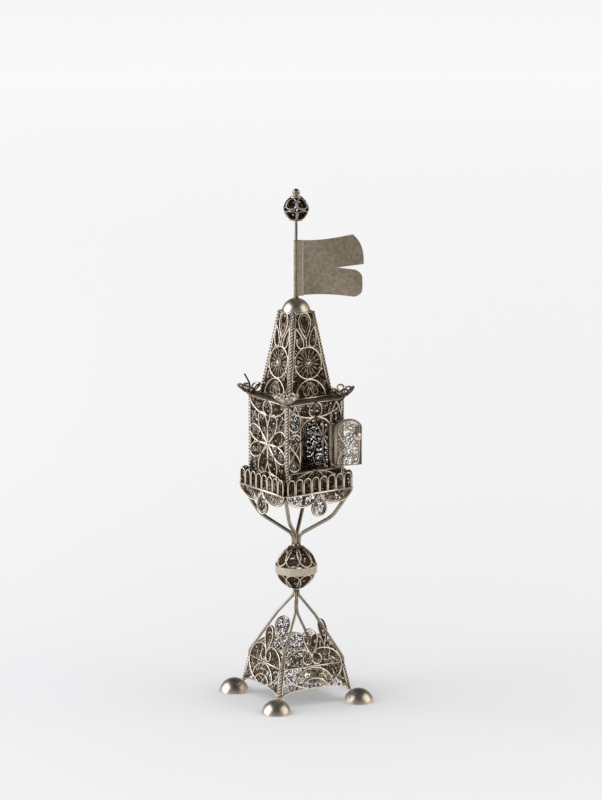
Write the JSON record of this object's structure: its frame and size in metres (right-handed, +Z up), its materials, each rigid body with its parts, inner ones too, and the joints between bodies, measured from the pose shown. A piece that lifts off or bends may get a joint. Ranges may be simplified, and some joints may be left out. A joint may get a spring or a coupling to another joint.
{
  "type": "besamim spice box",
  "caption": "Silver filigree spice tower: domed feet, splayed openwork base, round knop, square box with a hinged door, tapered spire and a turning flag.",
  "frame": {"origin": "centre of the tower on the table, under the feet", "axes": "+Z up along the tower's axis, -Y out of the door's wall, +X towards the hinge side"},
  "size_m": [0.0566, 0.0566, 0.22],
  "materials": {
    "filigree_silver_wire": "satin",
    "plain_silver_wire": "satin",
    "satin_silver_sheet": "satin",
    "polished_silver": "polished"
  },
  "bodies": {
    "tower": {"base_corner_wires": "filigree_silver_wire", "base_panel_back": "filigree_silver_wire", "base_panel_front": "filigree_silver_wire", "base_panel_left": "filigree_silver_wire", "base_panel_right": "filigree_silver_wire", "box_floor": "satin_silver_sheet", "bracket_back_left": "plain_silver_wire", "bracket_back_right": "plain_silver_wire", "bracket_front_left": "plain_silver_wire", "bracket_front_right": "plain_silver_wire", "dome_cap": "polished_silver", "door_frame": "plain_silver_wire", "finial_ball": "filigree_silver_wire", "finial_bead": "plain_silver_wire", "flagstaff": "plain_silver_wire", "foot_back_left": "polished_silver", "foot_back_right": "polished_silver", "foot_front_left": "polished_silver", "foot_front_right": "polished_silver", "front_left_pier": "filigree_silver_wire", "front_lintel": "filigree_silver_wire", "front_right_pier": "filigree_silver_wire", "front_sill_panel": "filigree_silver_wire", "gallery_back": "filigree_silver_wire", "gallery_front": "filigree_silver_wire", "gallery_left": "filigree_silver_wire", "gallery_right": "filigree_silver_wire", "hinge_fixed_knuckles": "plain_silver_wire", "hinge_pin": "plain_silver_wire", "knop_band": "satin_silver_sheet", "knop_lower_cap": "plain_silver_wire", "knop_lower_petals": "filigree_silver_wire", "knop_upper_cap": "plain_silver_wire", "knop_upper_petals": "filigree_silver_wire", "leg_back_left": "plain_silver_wire", "leg_back_right": "plain_silver_wire", "leg_front_left": "plain_silver_wire", "leg_front_right": "plain_silver_wire", "post_back_left": "filigree_silver_wire", "post_back_right": "filigree_silver_wire", "post_front_left": "filigree_silver_wire", "post_front_right": "filigree_silver_wire", "roof_plate": "satin_silver_sheet", "rosette_back_left": "filigree_silver_wire", "rosette_back_right": "filigree_silver_wire", "rosette_front_left": "filigree_silver_wire", "rosette_front_right": "filigree_silver_wire", "spire_corner_wires": "filigree_silver_wire", "spire_panel_back": "filigree_silver_wire", "spire_panel_front": "filigree_silver_wire", "spire_panel_left": "filigree_silver_wire", "spire_panel_right": "filigree_silver_wire", "wall_back": "filigree_silver_wire", "wall_left": "filigree_silver_wire", "wall_right": "filigree_silver_wire"},
    "door": {"door_leaf": "filigree_silver_wire", "door_knuckle": "plain_silver_wire"},
    "catch": {"catch_knob": "polished_silver", "catch_tongue": "satin_silver_sheet"},
    "flag": {"flag": "satin_silver_sheet"}
  },
  "joints": [
    {"name": "door_hinge", "type": "hinge", "parent": "tower", "child": "door", "pos_m": [0.00713, -0.0156, 0.11334], "axis": [0, 0, 1], "range_deg": [-166, 8]},
    {"name": "catch_turn", "type": "hinge", "parent": "door", "child": "catch", "pos_m": [0.01748, -0.01921, 0.11542], "axis": [0.2419, 0.9703, 0], "range_deg": [0, 90]},
    {"name": "flag_turn", "type": "hinge", "parent": "tower", "child": "flag", "pos_m": [0, 0, 0.186], "axis": [0, 0, 1], "continuous": true}
  ]
}
